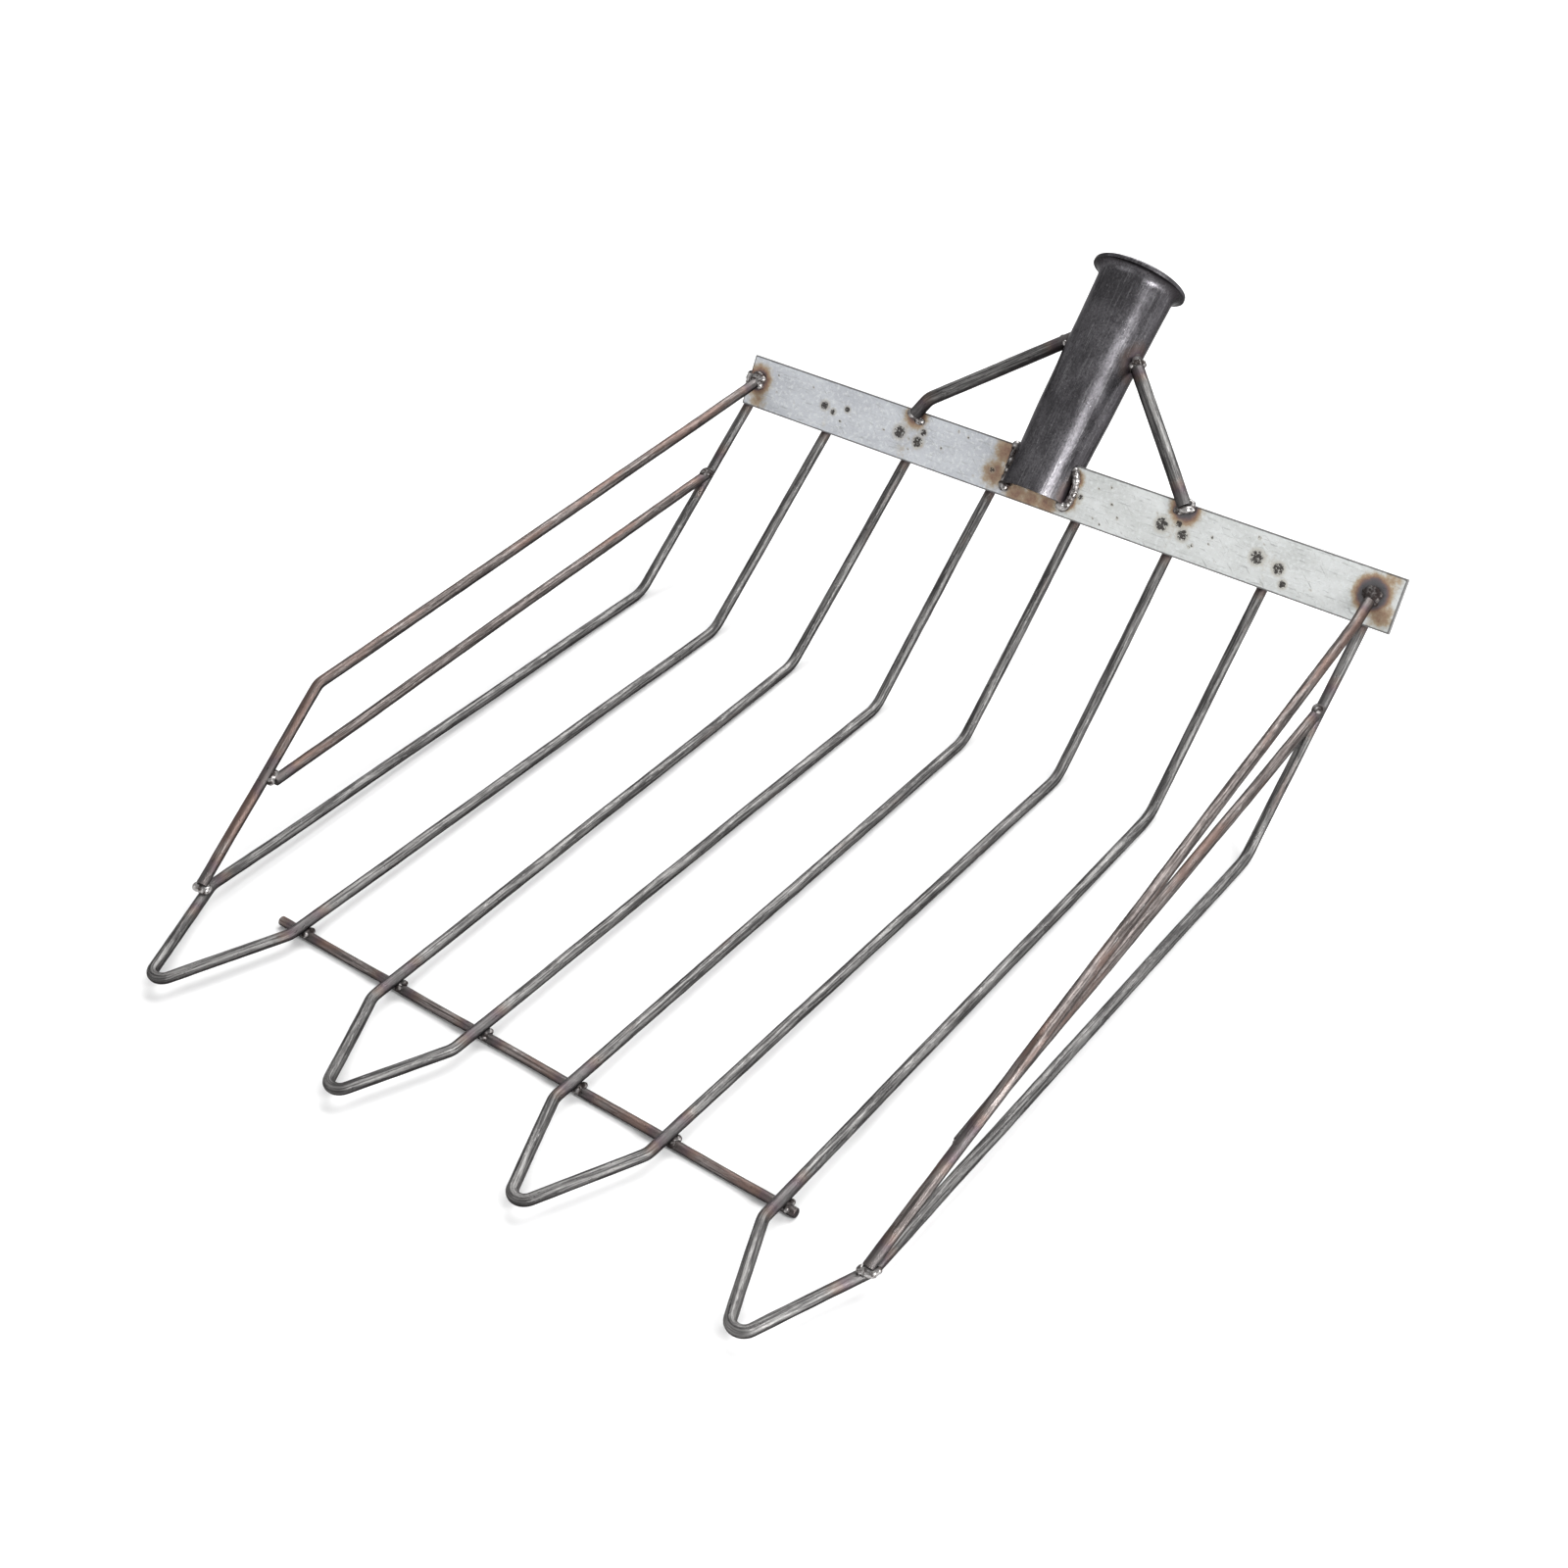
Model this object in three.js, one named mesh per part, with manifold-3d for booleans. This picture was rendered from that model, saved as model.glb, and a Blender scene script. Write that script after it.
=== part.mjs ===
// Welded round-bar scoop head with a pole socket.
// Four V-tipped tine loops, a cross rod, two side rails and a flat-bar back plate.
// Millimetres, +Z up, tips towards -Y, socket towards +Y, origin on the ground
// under the middle of the head, which lies on its heel bends and its cross rod.
import * as THREE from 'three';
import { mergeVertices } from 'three/addons/utils/BufferGeometryUtils.js';
import Module from 'manifold-3d';

const wasm = await Module();
wasm.setup();

// Bar stock
const rodD = 6;
const crossRodD = 5;
const braceD = 8;
const gap = 0.3;

// Back plate: a flat bar that leans back; plateEdge is its front face's lower edge
const plateLength = 426;
const plateWidth = 30;
const plateThickness = 3;
const plateCentreX = 5;
const plateTilt = THREE.MathUtils.degToRad(59);
const plateEdgeY = 111;
const plateEdgeZ = 82;

// Tines, left to right: hand-bent, so each has its own place at the plate, heel and front bend.
// The bed of the tines is the plane z = 0 of the head's own frame, and the heel line is y = 0.
const tinePlateX = [-207, -148, -90, -31, 26, 85, 143, 202];
const tineHeelX = [-208, -147, -88, -25, 32, 91, 148, 205];
const tineHeelY = [8, 2, 0, -5, -2, 0, 0, 0];
const tineFrontX = [-213, -152, -86, -29, 31, 88, 153, 208];
const tineFrontY = [-328, -330, -338, -341, -336, -337, -336, -331];
const tipX = [-183, -57, 58, 181];
const tipY = -400;
const weldedLength = 16;
const plateBendR = 8;
const heelBendR = 20;
const frontBendR = 12;
const tipBendR = 6;

// Cross rod, under the tines just behind their front bends
const crossRodY = -321.5;
const crossRodLeft = -169;
const crossRodRight = 160;

// Side rails, left then right: the top rail bends down into a leg that stands on the outer tine's
// front bend, and the mid rail runs from the outer tine's riser to the inner side of that leg.
// The right top rail droops slightly next to the plate.
const topRailStartX = [-201.5, 203];
const topRailSeat = 16;
const topRailBend = new THREE.Vector3(224, -229, 65);
const topRailBendR = 12;
const rightRailKink = new THREE.Vector3(205, 98.5, 91);
const rightRailKinkR = 30;
const legFoot = [new THREE.Vector3(-211, -335, 6.3), new THREE.Vector3(209, -335.5, 6.3)];
const midRailSeat = 0.64;
const midRailEnd = [new THREE.Vector3(-214, -276, 34.5), new THREE.Vector3(214, -276, 34.5)];

// Pole socket: a tapered tube, flared at its mouth, notched at the back to sit on the plate
const socketTilt = THREE.MathUtils.degToRad(41);
const socketFootY = 112.8;
const socketFootZ = 89.2;
const socketLength = 138;
const socketFootR = 19.1;
const socketMouthR = 22.7;
const socketWall = 2.3;
const lipR = 28;
const lipHeight = 9;
const lipEdge = 2.6;
const socketEndSkew = THREE.MathUtils.degToRad(8);

// Braces from the plate's top edge to the sides of the socket
const braceFootX = 89;
const braceFootUp = 27.5;
const braceFootOut = 2;
const braceReach = 112;
const leftFootKink = new THREE.Vector3(6.5, 4.5, 10);

// Weld beads: half-sizes across, along and out of the surface that they sit on
const tineWeld = [6.5, 6.5, 4.5];
const crossWeld = [5.5, 5, 2.4];
const railWeld = [7, 7, 3.6];
const legWeld = [5, 5.6, 4.2];
const midBackWeld = [4, 6, 4.2];
const midFrontWeld = [4.6, 5, 4.8];
const socketWeld = [6, 12, 5];
const braceFootWeld = [8, 6.5, 5];
const braceTopWeld = [5, 7, 6];
const kinkR = 10;

// Facets
const rodSides = 12;
const bendStep = THREE.MathUtils.degToRad(22);
const socketSides = 36;

const steel = new THREE.MeshStandardMaterial({ color: 0x4b4846, roughness: 0.48, metalness: 0.85 });
const tintedSteel = new THREE.MeshStandardMaterial({ color: 0x5e524d, roughness: 0.55, metalness: 0.8 });
const socketSteel = new THREE.MeshStandardMaterial({ color: 0x3c393a, roughness: 0.42, metalness: 0.85 });
const zincPlate = new THREE.MeshStandardMaterial({ color: 0xb3b8ba, roughness: 0.45, metalness: 0.7 });
const weldMetal = new THREE.MeshStandardMaterial({ color: 0x84827f, roughness: 0.4, metalness: 0.9 });

const head = new THREE.Group();

// A bent bar's centreline: straight runs between corners, each corner rounded to its bend radius.
// It has a station at each end of a run and at equal steps round each bend.
class BentBar extends THREE.Curve {
  constructor(corners, bendRadii = []) {
    super();
    const last = corners.length - 1;
    const heading = corners.slice(1).map((corner, i) => corner.clone().sub(corners[i]).normalize());
    this.stations = [{ point: corners[0], tangent: heading[0] }];
    for (let i = 1; i < last; i += 1) {
      this.addBend(corners[i], heading[i - 1], heading[i], bendRadii[i - 1]);
    }
    this.stations.push({ point: corners[last], tangent: heading[last - 1] });
  }

  addBend(corner, before, after, radius) {
    const turn = before.angleTo(after);
    const axis = before.clone().cross(after).normalize();
    const inward = after.clone().sub(before).normalize();
    const centre = corner.clone().addScaledVector(inward, radius / Math.cos(turn / 2));
    const setback = radius * Math.tan(turn / 2);
    const spoke = corner.clone().addScaledVector(before, -setback).sub(centre);
    const steps = Math.ceil(turn / bendStep);
    for (let k = 0; k <= steps; k += 1) {
      const angle = (turn * k) / steps;
      const point = spoke.clone().applyAxisAngle(axis, angle).add(centre);
      this.stations.push({ point, tangent: before.clone().applyAxisAngle(axis, angle) });
    }
  }

  get steps() {
    return this.stations.length - 1;
  }

  getPointAt(u) {
    return this.stations[Math.round(u * this.steps)].point.clone();
  }

  getTangentAt(u) {
    return this.stations[Math.round(u * this.steps)].tangent.clone();
  }
}

// A round bar along a centreline, with spare added to its radius and to both ends
function barGeometry(line, diameter, spare = 0) {
  const radius = diameter / 2 + spare;
  const ring = [];
  for (let i = 0; i < rodSides; i += 1) {
    const angle = (2 * Math.PI * i) / rodSides;
    ring.push(new THREE.Vector2(radius * Math.cos(angle), radius * Math.sin(angle)));
  }
  const path = Object.create(line);
  const first = line.stations[0];
  const last = line.stations[line.steps];
  path.stations = [
    { point: first.point.clone().addScaledVector(first.tangent, -spare), tangent: first.tangent },
    ...line.stations.slice(1, -1),
    { point: last.point.clone().addScaledVector(last.tangent, spare), tangent: last.tangent },
  ];
  return new THREE.ExtrudeGeometry(new THREE.Shape(ring), {
    steps: path.steps,
    extrudePath: path,
    bevelEnabled: false,
  });
}

// A point given by its place on the plate: across it, up its front face, and out from that face
function onPlate(x, up, out) {
  const y = plateEdgeY + up * Math.cos(plateTilt) - out * Math.sin(plateTilt);
  const z = plateEdgeZ + up * Math.sin(plateTilt) + out * Math.cos(plateTilt);
  return new THREE.Vector3(x, y, z);
}

// A point on the socket's axis, measured up from the middle of its lower end
function onSocketAxis(height) {
  const y = socketFootY + height * Math.cos(socketTilt);
  const z = socketFootZ + height * Math.sin(socketTilt);
  return new THREE.Vector3(0, y, z);
}

function addPart(name, geometry, material) {
  const mesh = new THREE.Mesh(geometry, material);
  mesh.name = name;
  head.add(mesh);
  return mesh;
}

// A mesh's solid in the head's frame
function solidOf(mesh) {
  mesh.updateMatrix();
  let geometry = mesh.geometry.clone().applyMatrix4(mesh.matrix);
  geometry.deleteAttribute('normal');
  geometry.deleteAttribute('uv');
  geometry = mergeVertices(geometry, 1e-4);
  return new wasm.Manifold(new wasm.Mesh({
    numProp: 3,
    vertProperties: geometry.attributes.position.array,
    triVerts: new Uint32Array(geometry.index.array),
  }));
}

// Cuts the given meshes out of a mesh
function carve(mesh, cutters) {
  let solid = solidOf(mesh);
  for (const cutter of cutters) {
    solid = solid.subtract(solidOf(cutter));
  }
  const { vertProperties, triVerts } = solid.getMesh();
  const geometry = new THREE.BufferGeometry();
  geometry.setAttribute('position', new THREE.BufferAttribute(vertProperties, 3));
  geometry.setIndex(new THREE.BufferAttribute(triVerts, 1));
  geometry.applyMatrix4(mesh.matrix.clone().invert());
  geometry.computeVertexNormals();
  mesh.geometry = geometry;
}

// A bar is a named part with its own cutter: the same bar, grown by the gap
function addBar(name, line, diameter, material) {
  const mesh = addPart(name, barGeometry(line, diameter), material);
  mesh.userData.cutter = new THREE.Mesh(barGeometry(line, diameter, gap));
  return mesh;
}

// A block in the plate's own directions, between two corners given as x, up and out
function plateBlock(low, high) {
  const size = high.map((value, i) => value - low[i]);
  const middle = high.map((value, i) => (value + low[i]) / 2);
  const mesh = new THREE.Mesh(new THREE.BoxGeometry(...size));
  mesh.position.copy(onPlate(...middle));
  mesh.rotation.x = plateTilt;
  return mesh;
}

// A weld bead: an ellipsoid whose radii run across, up and out, less the parts that it joins
function addWeld(name, centre, radii, tilt, cutters) {
  const mesh = addPart(name, new THREE.SphereGeometry(1, 10, 7).scale(...radii), weldMetal);
  mesh.position.copy(centre);
  mesh.rotation.x = tilt;
  carve(mesh, cutters);
}

const sides = [
  { name: 'left', sign: -1, index: 0, tine: 0 },
  { name: 'right', sign: 1, index: 1, tine: 7 },
];

// Back plate
const plateLeft = plateCentreX - plateLength / 2;
const plateRight = plateCentreX + plateLength / 2;
const plate = plateBlock([plateLeft, 0, -plateThickness], [plateRight, plateWidth, 0]);
plate.name = 'back_plate';
plate.material = zincPlate;
head.add(plate);
const plateCutter = plateBlock(
  [plateLeft - gap, -gap, -plateThickness - gap],
  [plateRight + gap, plateWidth + gap, gap],
);


// The plate with all that is behind it, and with all that is in front of it, for the beads' sake
const plateAndBehind = plateBlock([-300, -40, -20], [300, plateWidth + gap, gap]);
const plateAndFront = plateBlock([-300, -40, -plateThickness - gap], [300, 60, 20]);

// Tine loops: down behind the plate, round the heel, out to the front bend and V tip, and back
const tineOut = -(plateThickness + gap + rodD / 2);
const tines = tinePlateX.map((x, i) => ({
  end: onPlate(x, weldedLength, tineOut),
  plateBend: onPlate(x, 0, tineOut),
  heel: new THREE.Vector3(tineHeelX[i], tineHeelY[i], 0),
  front: new THREE.Vector3(tineFrontX[i], tineFrontY[i], 0),
}));
const bendRadii = [plateBendR, heelBendR, frontBendR];
const loops = tipX.map((x, i) => {
  const [left, right] = tines.slice(2 * i, 2 * i + 2);
  const corners = [
    left.end, left.plateBend, left.heel, left.front,
    new THREE.Vector3(x, tipY, 0),
    right.front, right.heel, right.plateBend, right.end,
  ];
  const line = new BentBar(corners, [...bendRadii, tipBendR, ...bendRadii.toReversed()]);
  return addBar(`tine_loop_${i + 1}`, line, rodD, steel);
});
tines.forEach((tine, i) => {
  tine.cutter = loops[Math.floor(i / 2)].userData.cutter;
});

// Cross rod
const crossRodZ = -(rodD / 2 + gap + crossRodD / 2);
const crossRod = addBar('cross_rod', new BentBar([
  new THREE.Vector3(crossRodLeft, crossRodY, crossRodZ),
  new THREE.Vector3(crossRodRight, crossRodY, crossRodZ),
]), crossRodD, tintedSteel);

// Top rails: from the plate's front face to the outer tine's front bend
const topRails = sides.map(({ name, sign, index, tine }) => {
  const corners = [
    onPlate(topRailStartX[index], topRailSeat, -1),
    topRailBend.clone().setX(sign * topRailBend.x),
    legFoot[index],
  ];
  const bends = [topRailBendR];
  if (sign > 0) {
    corners.splice(1, 0, rightRailKink);
    bends.unshift(rightRailKinkR);
  }
  const rail = addBar(`top_rail_${name}`, new BentBar(corners, bends), rodD, tintedSteel);
  carve(rail, [plateCutter, tines[tine].cutter]);
  return rail;
});

// Mid rails
const midRailStart = sides.map(({ tine }) => (
  tines[tine].heel.clone().lerp(tines[tine].plateBend, midRailSeat)
));
const midRails = sides.map(({ name, index, tine }) => {
  const line = new BentBar([midRailStart[index], midRailEnd[index]]);
  const rail = addBar(`mid_rail_${name}`, line, rodD, tintedSteel);
  carve(rail, [tines[tine].cutter, topRails[index].userData.cutter]);
  return rail;
});

// Pole socket
function socketOutline() {
  const lipStart = socketLength - lipHeight;
  const flare = lipR - socketMouthR;
  const below = 4;
  const outline = [new THREE.Vector2(socketFootR, -below), new THREE.Vector2(socketMouthR, lipStart)];
  for (let i = 1; i <= 4; i += 1) {
    const angle = (Math.PI / 2) * (i / 4);
    const r = socketMouthR + flare * (1 - Math.cos(angle));
    outline.push(new THREE.Vector2(r, lipStart + (lipHeight - lipEdge) * Math.sin(angle)));
  }
  return outline;
}

function addSocket() {
  const outer = socketOutline();
  const lipInnerR = lipR - lipEdge / 2;
  const mouthInnerR = socketMouthR - socketWall;
  const inner = [
    new THREE.Vector2(lipR, socketLength - lipEdge / 3),
    new THREE.Vector2(lipInnerR, socketLength),
    new THREE.Vector2(mouthInnerR + 2, socketLength),
    new THREE.Vector2(mouthInnerR, socketLength - 3),
    new THREE.Vector2(socketFootR - socketWall, outer[0].y),
  ];
  const profile = [...outer, ...inner, outer[0]];
  const mesh = addPart('pole_socket', new THREE.LatheGeometry(profile, socketSides), socketSteel);
  mesh.position.copy(onSocketAxis(0));
  mesh.rotation.x = socketTilt;
  return mesh;
}

// The lower end is cut a little off square, longer at the front
function socketEndCutter() {
  const depth = 30;
  const mesh = new THREE.Mesh(new THREE.BoxGeometry(80, depth, 80).translate(0, -depth / 2, 0));
  mesh.position.copy(onSocketAxis(0));
  mesh.rotation.x = socketTilt + socketEndSkew;
  return mesh;
}

// The socket's outside as a solid plug, grown by the gap
function socketPlug() {
  const outline = socketOutline().map((point) => new THREE.Vector2(point.x + gap, point.y));
  const top = new THREE.Vector2(0, outline.at(-1).y);
  const profile = [new THREE.Vector2(0, outline[0].y), ...outline, top];
  const mesh = new THREE.Mesh(new THREE.LatheGeometry(profile, socketSides));
  mesh.position.copy(onSocketAxis(0));
  mesh.rotation.x = socketTilt;
  return mesh;
}

const notch = plateBlock([-40, -40, -60], [40, plateWidth + gap, gap]);
const plug = socketPlug();
carve(addSocket(), [socketEndCutter(), notch]);

// Braces
const braces = sides.map(({ name, sign }) => {
  const foot = onPlate(sign * braceFootX, braceFootUp, braceFootOut);
  const corners = [foot, onSocketAxis(braceReach)];
  if (sign < 0) {
    corners.splice(1, 0, foot.clone().add(leftFootKink));
  }
  const brace = addBar(`brace_${name}`, new BentBar(corners, [kinkR]), braceD, steel);
  carve(brace, [plateCutter, plug]);
  return brace;
});

// Welds on the plate's back, one for each tine
tines.forEach((tine, i) => {
  const centre = onPlate(tinePlateX[i], weldedLength - 1, -plateThickness - gap);
  addWeld(`tine_weld_${i + 1}`, centre, tineWeld, plateTilt, [plateAndFront, tine.cutter]);
});

// Welds where the cross rod passes under the tines
tines.slice(1, -1).forEach((tine, i) => {
  const run = (crossRodY - tine.heel.y) / (tine.front.y - tine.heel.y);
  const centre = tine.heel.clone().lerp(tine.front, run).setZ(-rodD / 2 - gap / 2);
  addWeld(`cross_weld_${i + 2}`, centre, crossWeld, 0, [crossRod.userData.cutter, tine.cutter]);
});

// Welds of the rails
sides.forEach(({ name, sign, index, tine }) => {
  const railCutter = topRails[index].userData.cutter;
  const outerTine = tines[tine];
  const seat = onPlate(topRailStartX[index], topRailSeat - 1, 0);
  addWeld(`rail_weld_${name}`, seat, railWeld, plateTilt, [plateAndBehind, railCutter]);

  const foot = legFoot[index].clone().setZ(rodD / 2);
  addWeld(`leg_weld_${name}`, foot, legWeld, 0, [outerTine.cutter, railCutter]);

  const midCutter = midRails[index].userData.cutter;
  const riser = midRailStart[index].clone().add(new THREE.Vector3(0, -3, 2));
  addWeld(`mid_back_weld_${name}`, riser, midBackWeld, 0, [outerTine.cutter, midCutter]);

  const besideLeg = midRailEnd[index].clone().add(new THREE.Vector3(sign * 2, 1, 2.3));
  addWeld(`mid_front_weld_${name}`, besideLeg, midFrontWeld, 0, [railCutter, midCutter]);
});

// Welds of the socket and its braces
sides.forEach(({ name, sign, index }) => {
  const seam = onPlate(sign * socketFootR, plateWidth / 2 + 2, 0);
  addWeld(`socket_weld_${name}`, seam, socketWeld, plateTilt, [plateAndBehind, plug]);

  const braceCutter = braces[index].userData.cutter;
  const foot = onPlate(sign * braceFootX, braceFootUp - 3, 0);
  addWeld(`brace_foot_weld_${name}`, foot, braceFootWeld, plateTilt, [plateAndBehind, braceCutter]);

  const axisPoint = onSocketAxis(braceReach);
  const start = onPlate(sign * braceFootX, braceFootUp, braceFootOut);
  const run = 1 - (socketMouthR - 1) / braceFootX;
  const top = start.clone().lerp(axisPoint, run);
  addWeld(`brace_top_weld_${name}`, top, braceTopWeld, socketTilt, [plug, braceCutter]);
});

// Rest pose: tip the front up until the heels and the cross rod stand level, and centre the head
head.rotation.x = -Math.atan2(crossRodD + gap, -crossRodY);
const extent = new THREE.Box3().setFromObject(head, true);
const middle = extent.getCenter(new THREE.Vector3());
head.position.set(-middle.x, -middle.y, -extent.min.z);

const part = new THREE.Group();
part.add(head);

export default part;
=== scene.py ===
"""Welded round-bar scoop head: the finished bars, plate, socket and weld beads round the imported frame."""

import math
import random

import bmesh
import bpy
import numpy as np
from mathutils import Matrix, Vector, noise


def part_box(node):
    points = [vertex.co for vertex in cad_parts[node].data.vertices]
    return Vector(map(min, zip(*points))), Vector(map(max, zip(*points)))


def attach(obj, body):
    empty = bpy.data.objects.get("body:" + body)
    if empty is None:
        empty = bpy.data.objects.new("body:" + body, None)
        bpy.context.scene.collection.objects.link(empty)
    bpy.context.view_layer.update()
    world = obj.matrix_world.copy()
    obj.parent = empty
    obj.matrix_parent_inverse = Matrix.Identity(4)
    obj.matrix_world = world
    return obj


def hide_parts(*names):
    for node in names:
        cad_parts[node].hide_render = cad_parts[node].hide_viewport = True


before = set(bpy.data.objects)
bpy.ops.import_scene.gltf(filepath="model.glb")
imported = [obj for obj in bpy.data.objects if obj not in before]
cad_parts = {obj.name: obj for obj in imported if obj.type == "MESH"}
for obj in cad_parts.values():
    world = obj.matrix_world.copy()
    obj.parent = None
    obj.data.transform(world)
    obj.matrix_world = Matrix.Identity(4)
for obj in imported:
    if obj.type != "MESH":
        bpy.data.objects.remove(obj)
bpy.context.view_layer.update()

# ---------------------------------------------------------------- dimensions
# Millimetres in the head's own frame: z = 0 runs through the middle of the tines' bed,
# y = 0 is close to their heels, and the tips point to -y. HEAD, below, puts the head
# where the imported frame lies.
MM = 0.001
ROD_R = 3.0
CROSS_R = 2.5
BRACE_R = 4.0
GAP = 0.3

PLATE_LENGTH = 426
PLATE_WIDTH = 30
PLATE_THICKNESS = 3
PLATE_CENTRE_X = 5
PLATE_TILT = math.radians(59)
PLATE_EDGE = (111, 82)

TINE_PLATE_X = [-207, -148, -90, -31, 26, 85, 143, 202]
TINE_HEEL_X = [-208, -147, -88, -25, 32, 91, 148, 205]
TINE_HEEL_Y = [8, 2, 0, -5, -2, 0, 0, 0]
TINE_FRONT_X = [-213, -152, -86, -29, 31, 88, 153, 208]
TINE_FRONT_Y = [-328, -330, -338, -341, -336, -337, -336, -331]
TIP_X = [-183, -57, 58, 181]
TIP_Y = -400
WELDED_LENGTH = 16
LOOP_BENDS = [8, 20, 12, 6, 12, 20, 8]

CROSS_Y = -321.5
CROSS_ENDS = (-169, 160)
CROSS_Z = -(ROD_R + GAP + CROSS_R)

SIDES = {"left": -1, "right": 1}
OUTER_TINE = {"left": 0, "right": 7}
RAIL_START_X = {"left": -201.5, "right": 203}
RAIL_SEAT = 16
RAIL_BEND = (224, -229, 65)
RAIL_BEND_R = 12
RIGHT_RAIL_KINK = (205, 98.5, 91)
RIGHT_RAIL_KINK_R = 30
LEG_FOOT = {"left": (-211, -335, 6.3), "right": (209, -335.5, 6.3)}
MID_SEAT = 0.64
MID_END = {"left": (-214, -276, 34.5), "right": (214, -276, 34.5)}

SOCKET_TILT = math.radians(41)
SOCKET_FOOT = (112.8, 89.2)
SOCKET_LENGTH = 138
SOCKET_FOOT_R = 19.1
SOCKET_MOUTH_R = 22.7
SOCKET_WALL = 2.3
LIP_R = 28
LIP_HEIGHT = 9
LIP_EDGE = 2.6
LIP_ROUND = LIP_EDGE / 2
MOUTH_EASE = [(2.4, 0.1), (0.8, 1.2)]  # out from the bore's wall, down from the mouth
BORE_TOP = SOCKET_LENGTH - 3.5
SOCKET_END_SKEW = math.radians(8)

BRACE_FOOT_X = 89
BRACE_FOOT_UP = 27.5
BRACE_FOOT_OUT = 2
BRACE_REACH = 112
LEFT_FOOT_KINK = (6.5, 4.5, 10)
KINK_R = 10

# How fine the meshes are
RUN_STEP = 3.0
ARC_STEP = 1.2
BAR_SIDES = 20
TUBE_SIDES = 120
TUBE_ROWS = 45
FLARE_ROWS = 10
LIP_ROWS = 6
BORE_ROWS = 39
PLATE_STEP = 1.0
BEAD_VOXEL = 0.42

# How far the hand-made finish strays from the plain shapes
BAR_CHAMFER = 0.35
BAR_WAVE = 0.35
BAR_WAVE_LENGTH = 60
BAR_WAVE_SEED = 1
BAR_DENT = 0.10
BAR_DENT_LENGTH = 9
TUBE_DENT = 0.3
TUBE_DENT_LENGTH = 26
TUBE_SCORCH = 0.8
PLATE_EDGE_R = 0.45
PLATE_WAVE = 0.25
PLATE_WAVE_LENGTH = (55, 40)
MARK_RISE = 0.3
BEAD_JITTER = 0.25
BEAD_SWELL = 0.1
BEAD_SETTLING = 7
BEAD_GRAIN = 0.16

# Shapes that cut other shapes
CUT_REACH = 40
CUT_DEPTH = 30
PLUG_INSET = 0.5
PLUG_SIDES = 72
TUBE_BELOW = 4  # the tube and its plug start this far below the socket's foot

# The camera, in the head's frame
CAMERA_PLACE = (585.4, -852.8, 773.1)
CAMERA_AZIMUTH = math.radians(38.635)
CAMERA_ELEVATION = math.radians(38.343)
CAMERA_ROLL = math.radians(-1.83)
CAMERA_LENS = 53.2

# Metres and watts, in the row's frame
FLOOR_HALF = 6.0
WORLD_STRENGTH = 0.42
LIGHTS = [  # name, place, aim, size, power
    ("back_overhead", (-0.1, 1.9, 2.8), (0, 0, 0), (3.4, 2.2), 125),
    ("front_fill", (-1.3, -2.4, 1.3), (0, 0.1, 0.1), (2.6, 1.6), 20),
    ("right_key", (1.36, -0.25, 0.58), (0, 0.22, 0.14), (0.22, 0.8), 24),
]

# ---------------------------------------------------------------- colours
PAPER = [(0.3, (0.93, 0.93, 0.93)), (0.7, (0.96, 0.96, 0.96))]

# Bars: dark scale, pale scale, brown tint, and how much of the bar is brown
SCALED_BAR = ((0.06, 0.058, 0.058), (0.235, 0.23, 0.225), (0.15, 0.12, 0.11), 0.0)
BROWNED_BAR = ((0.07, 0.06, 0.057), (0.25, 0.22, 0.21), (0.17, 0.115, 0.098), 0.14)
RUBBED_STEEL = (0.50, 0.49, 0.48)
# Painted shade: the near-black that the bars' downward faces are mixed towards
BAR_PAINTED_SHADE = (0.018, 0.016, 0.016)
BAR_TINT = [
    (0.0, (0.19, 0.155, 0.12)),
    (0.35, (0.16, 0.105, 0.08)),
    (0.6, (0.095, 0.07, 0.08)),
    (0.85, (0.11, 0.105, 0.105)),
]

TUBE_DARK = (0.075, 0.072, 0.078)
TUBE_PALE = (0.135, 0.13, 0.14)
TUBE_SCRATCH = (0.23, 0.225, 0.235)
TUBE_FINE_SCRATCH = (0.30, 0.29, 0.30)
TUBE_PIT = (0.04, 0.037, 0.04)
TUBE_SPECK = (0.36, 0.35, 0.36)
# Painted shade: the near-black that the socket's downward faces are mixed towards
TUBE_PAINTED_SHADE = (0.02, 0.017, 0.019)

ZINC_LEFT = ((0.44, 0.455, 0.49), (0.54, 0.56, 0.59))
ZINC_RIGHT = ((0.52, 0.535, 0.525), (0.64, 0.655, 0.65))
ZINC_SPANGLE = (0.70, 0.72, 0.72)
ZINC_GRIME = (0.27, 0.265, 0.25)
ZINC_SCRATCH = (0.26, 0.265, 0.27)
ZINC_CROSS_SCRATCH = (0.22, 0.22, 0.22)
ZINC_RIM = (0.07, 0.065, 0.065)
ZINC_TINT = [
    (0.15, (0.40, 0.37, 0.30)),
    (0.36, (0.36, 0.27, 0.17)),
    (0.55, (0.22, 0.115, 0.065)),
    (0.72, (0.10, 0.065, 0.07)),
    (0.9, (0.055, 0.05, 0.055)),
]
BURN_HALO = (0.36, 0.32, 0.25)
BURN_CORE = (0.03, 0.026, 0.025)

BEAD_BRIGHT = (0.40, 0.385, 0.38)
BEAD_OXIDE = (0.06, 0.048, 0.045)
BEAD_GLINT = (0.5, 0.49, 0.47)
BEAD_SOOT = (0.035, 0.028, 0.027)

# ---------------------------------------------------------------- marks and weld drops
# Places on the plate are (x, up its front face), in millimetres
BURNT_MARKS = [(-151, 15, 2.6), (-144, 13, 1.8), (-135, 17, 1.8), (-31, 12, 1.6), (27, 14, 1.6)]
STRONG_MARK_TINES = (2, 5, 6)
SIDE_MARKS = [(2, 9, 19, 2.0), (5, 3, 18, 2.0), (6, 12, 6, 2.2)]  # tine, x from it, up, radius
SPECK_COUNT = 34

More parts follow.
